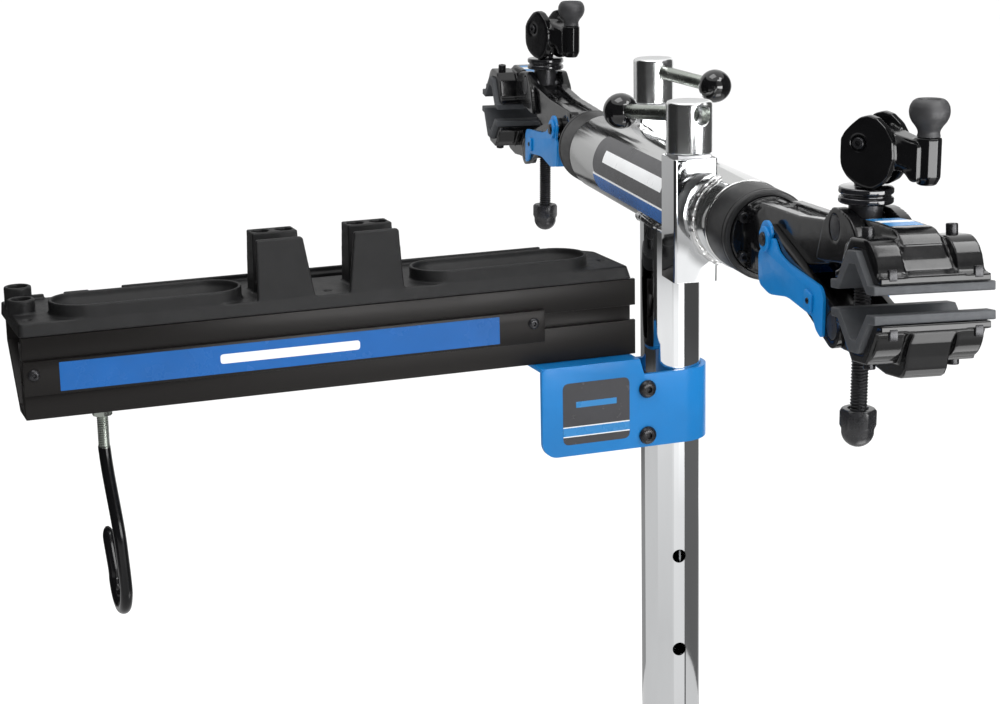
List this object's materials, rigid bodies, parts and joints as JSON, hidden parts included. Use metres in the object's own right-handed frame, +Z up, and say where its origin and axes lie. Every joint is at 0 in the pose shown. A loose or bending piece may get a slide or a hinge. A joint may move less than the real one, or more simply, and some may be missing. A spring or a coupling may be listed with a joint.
{
  "type": "bike repair stand",
  "caption": "Bike repair stand with height-adjustable column, cross tube holding two turning cam-lever clamps, and a swinging tool tray with hook",
  "frame": {"origin": "underside of the base plate, on the column axis", "axes": "Z up the column; X along the cross tube toward the near clamp; the tool tray hangs out toward -Y"},
  "size_m": [1.2794, 0.96, 1.2912],
  "materials": {
    "chrome_plate": "bright chrome plate",
    "zinc_steel": "zinc-plated steel",
    "bare_steel": "machined steel",
    "blackened_steel": "blackened steel",
    "dark_powder_coat": "dark powder coat",
    "black_sleeve": "satin black",
    "gloss_black_casting": "gloss black powder coat",
    "black_collar": "polished black steel",
    "black_threaded_steel": "black threaded steel",
    "black_ball_plastic": "moulded phenolic ball",
    "soft_black_knob": "soft-touch moulding",
    "grey_black_rubber": "matt rubber",
    "blue_powder_coat": "blue powder coat on bent sheet",
    "black_tray_plastic": "textured moulded plastic",
    "black_anodised_rail": "black anodised extrusion",
    "black_oxide_bolt": "black oxide screw",
    "black_vinyl": "vinyl-dipped steel rod"
  },
  "bodies": {
    "base": {"base_plate": "dark_powder_coat", "lower_column": "dark_powder_coat"},
    "mast": {"upper_column": "chrome_plate", "height_pin": "zinc_steel", "cross_tube": "chrome_plate", "lock_tube_near": "chrome_plate", "lock_tube_far": "chrome_plate", "binder_upper_near": "bare_steel", "binder_upper_far": "bare_steel"},
    "tray": {"tool_rail": "black_anodised_rail", "tool_tray": "black_tray_plastic", "label_plate": "black_anodised_rail", "label_screw_left": "black_oxide_bolt", "label_screw_right": "black_oxide_bolt", "tray_bracket": "blue_powder_coat", "bracket_bolt_upper": "black_oxide_bolt", "bracket_bolt_lower": "black_oxide_bolt", "hook_nut": "zinc_steel"},
    "hook": {"hook": "black_vinyl"},
    "lock_near": {"lock_spindle_near": "chrome_plate", "lock_bar_near": "zinc_steel", "lock_ball_near": "black_ball_plastic"},
    "binder_near": {"binder_lower_near": "bare_steel"},
    "turret_near": {"clamp_shaft_near": "black_sleeve", "clamp_arm_near": "gloss_black_casting", "upper_jaw_near": "gloss_black_casting", "upper_pad_near": "grey_black_rubber", "link_pin_near": "black_oxide_bolt"},
    "lower_arm_near": {"link_near": "gloss_black_casting", "link_cover_near": "blue_powder_coat", "lower_jaw_near": "gloss_black_casting", "lower_pad_near": "grey_black_rubber"},
    "swivel_near": {"upper_trunnion_near": "blackened_steel"},
    "collar_near": {"thrust_collar_near": "black_collar"},
    "rod_near": {"clamp_rod_near": "black_threaded_steel", "acorn_nut_near": "gloss_black_casting"},
    "lever_near": {"cam_lever_near": "gloss_black_casting", "lever_knob_near": "soft_black_knob"},
    "nut_near": {"lower_nut_near": "blackened_steel"},
    "lock_far": {"lock_spindle_far": "chrome_plate", "lock_bar_far": "zinc_steel", "lock_ball_far": "black_ball_plastic"},
    "binder_far": {"binder_lower_far": "bare_steel"},
    "turret_far": {"clamp_shaft_far": "black_sleeve", "clamp_arm_far": "gloss_black_casting", "upper_jaw_far": "gloss_black_casting", "upper_pad_far": "grey_black_rubber", "link_pin_far": "black_oxide_bolt"},
    "lower_arm_far": {"link_far": "gloss_black_casting", "link_cover_far": "blue_powder_coat", "lower_jaw_far": "gloss_black_casting", "lower_pad_far": "grey_black_rubber"},
    "swivel_far": {"upper_trunnion_far": "blackened_steel"},
    "collar_far": {"thrust_collar_far": "black_collar"},
    "rod_far": {"clamp_rod_far": "black_threaded_steel", "acorn_nut_far": "gloss_black_casting"},
    "lever_far": {"cam_lever_far": "gloss_black_casting", "lever_knob_far": "soft_black_knob"},
    "nut_far": {"lower_nut_far": "blackened_steel"}
  },
  "joints": [
    {"name": "height_slide", "type": "slide", "parent": "base", "child": "mast", "axis": [0, 0, 1], "range_m": [0, 0.305]},
    {"name": "tray_swing", "type": "hinge", "parent": "mast", "child": "tray", "pos_m": [0, 0, 0.923], "axis": [0, 0, 1], "range_deg": [-45, 45]},
    {"name": "hook_turn", "type": "hinge", "parent": "tray", "child": "hook", "pos_m": [0.06459, -0.57497, 0.971], "axis": [0, 0, 1], "continuous": true},
    {"name": "lock_turn_near", "type": "hinge", "parent": "mast", "child": "lock_near", "pos_m": [0.178, -0.038, 1.238], "axis": [0, 0, 1], "range_deg": [0, 180]},
    {"name": "binder_slide_near", "type": "slide", "parent": "mast", "child": "binder_near", "axis": [0, 0, 1], "range_m": [-0.00125, 0]},
    {"name": "clamp_turn_near", "type": "hinge", "parent": "mast", "child": "turret_near", "pos_m": [0.285, 0, 1.143], "axis": [1, 0, 0], "continuous": true},
    {"name": "jaw_open_near", "type": "hinge", "parent": "turret_near", "child": "lower_arm_near", "pos_m": [0.356, 0.00019, 1.154], "axis": [0, 0.9998, -0.0175], "range_deg": [-2, 10]},
    {"name": "rod_tilt_near", "type": "hinge", "parent": "turret_near", "child": "swivel_near", "pos_m": [0.5, 0.00079, 1.18849], "axis": [0, 0.9998, -0.0175], "range_deg": [-1.2, 5.6]},
    {"name": "nut_turn_near", "type": "hinge", "parent": "lower_arm_near", "child": "nut_near", "pos_m": [0.5, -0.00058, 1.11], "axis": [0, 0.9998, -0.0175], "range_deg": [-4.7, 1]},
    {"name": "rod_spin_near", "type": "hinge", "parent": "swivel_near", "child": "collar_near", "pos_m": [0.5, 0.00122, 1.21299], "axis": [0, 0.0175, 0.9998], "continuous": true},
    {"name": "rod_lift_near", "type": "slide", "parent": "collar_near", "child": "rod_near", "axis": [0, 0.0175, 0.9998], "range_m": [-0.0201, 0]},
    {"name": "cam_turn_near", "type": "hinge", "parent": "rod_near", "child": "lever_near", "pos_m": [0.5, 0.00197, 1.25598], "axis": [0.7071, -0.707, 0.0123], "range_deg": [0, 90]},
    {"name": "lock_turn_far", "type": "hinge", "parent": "mast", "child": "lock_far", "pos_m": [-0.178, 0.038, 1.238], "axis": [0, 0, 1], "range_deg": [0, 180]},
    {"name": "binder_slide_far", "type": "slide", "parent": "mast", "child": "binder_far", "axis": [0, 0, 1], "range_m": [-0.00125, 0]},
    {"name": "clamp_turn_far", "type": "hinge", "parent": "mast", "child": "turret_far", "pos_m": [-0.285, 0, 1.143], "axis": [-1, 0, 0], "continuous": true},
    {"name": "jaw_open_far", "type": "hinge", "parent": "turret_far", "child": "lower_arm_far", "pos_m": [-0.356, 0.00019, 1.154], "axis": [0, -0.9998, 0.0175], "range_deg": [-2, 10]},
    {"name": "rod_tilt_far", "type": "hinge", "parent": "turret_far", "child": "swivel_far", "pos_m": [-0.5, 0.00079, 1.18849], "axis": [0, -0.9998, 0.0175], "range_deg": [-1.2, 5.6]},
    {"name": "nut_turn_far", "type": "hinge", "parent": "lower_arm_far", "child": "nut_far", "pos_m": [-0.5, -0.00058, 1.11], "axis": [0, -0.9998, 0.0175], "range_deg": [-4.7, 1]},
    {"name": "rod_spin_far", "type": "hinge", "parent": "swivel_far", "child": "collar_far", "pos_m": [-0.5, 0.00122, 1.21299], "axis": [0, 0.0175, 0.9998], "continuous": true},
    {"name": "rod_lift_far", "type": "slide", "parent": "collar_far", "child": "rod_far", "axis": [0, 0.0175, 0.9998], "range_m": [-0.0201, 0]},
    {"name": "cam_turn_far", "type": "hinge", "parent": "rod_far", "child": "lever_far", "pos_m": [-0.5, 0.00197, 1.25598], "axis": [0.4067, -0.9134, 0.0159], "range_deg": [0, 90]}
  ],
  "couplings": [
    {"joint": "binder_slide_near", "follows": "lock_turn_near", "m_per_rad": -0.0003979},
    {"joint": "rod_tilt_near", "follows": "jaw_open_near", "ratio": 0.545},
    {"joint": "nut_turn_near", "follows": "jaw_open_near", "ratio": -0.455},
    {"joint": "rod_lift_near", "follows": "cam_turn_near", "m_per_rad": -0.012732},
    {"joint": "binder_slide_far", "follows": "lock_turn_far", "m_per_rad": -0.0003979},
    {"joint": "rod_tilt_far", "follows": "jaw_open_far", "ratio": 0.545},
    {"joint": "nut_turn_far", "follows": "jaw_open_far", "ratio": -0.455},
    {"joint": "rod_lift_far", "follows": "cam_turn_far", "m_per_rad": -0.012732}
  ]
}
